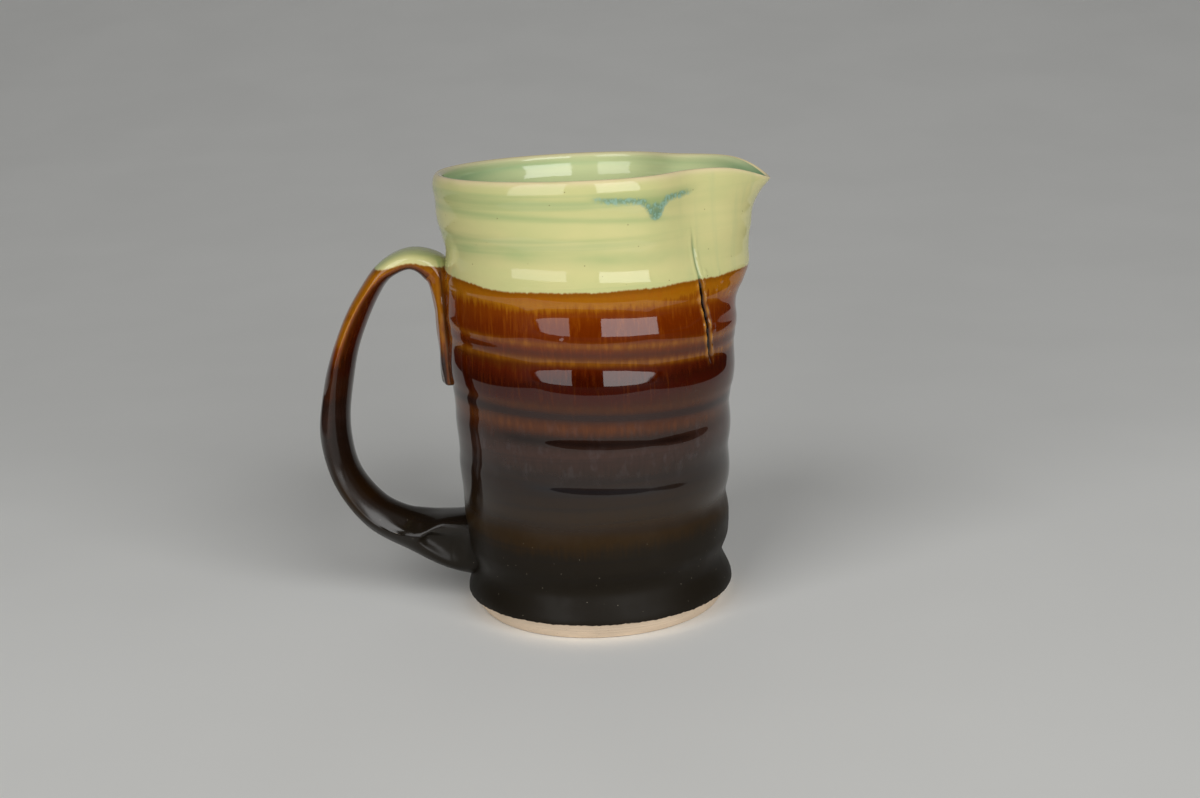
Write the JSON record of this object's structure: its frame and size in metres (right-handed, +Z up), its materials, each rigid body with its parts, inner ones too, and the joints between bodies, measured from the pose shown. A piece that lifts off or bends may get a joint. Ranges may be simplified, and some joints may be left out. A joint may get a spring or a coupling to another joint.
{
  "type": "cream jug",
  "caption": "Small wheel-thrown stoneware jug with a pulled pouring lip, strap handle, flared foot and dipped glaze bands.",
  "frame": {"origin": "middle of the flat base, on the table", "axes": "+Z up the wheel's axis, +X towards the pouring lip, -X towards the handle"},
  "size_m": [0.1301, 0.082, 0.125],
  "materials": {
    "stoneware": "matt, bare fired clay",
    "slip": "matt, bare fired clay",
    "liner": "gloss",
    "celadon": "gloss",
    "amber": "gloss",
    "iron_black": "satin"
  },
  "bodies": {
    "root": {"thrown_body": "stoneware", "pulled_handle": "stoneware", "upper_slip_joint": "slip", "lower_slip_joint": "slip", "liner_glaze": "liner", "celadon_glaze": "celadon", "handle_celadon_glaze": "celadon", "amber_glaze": "amber", "handle_amber_glaze": "amber", "handle_tail_glaze": "amber", "black_glaze": "iron_black", "handle_black_glaze": "iron_black"}
  },
  "joints": []
}
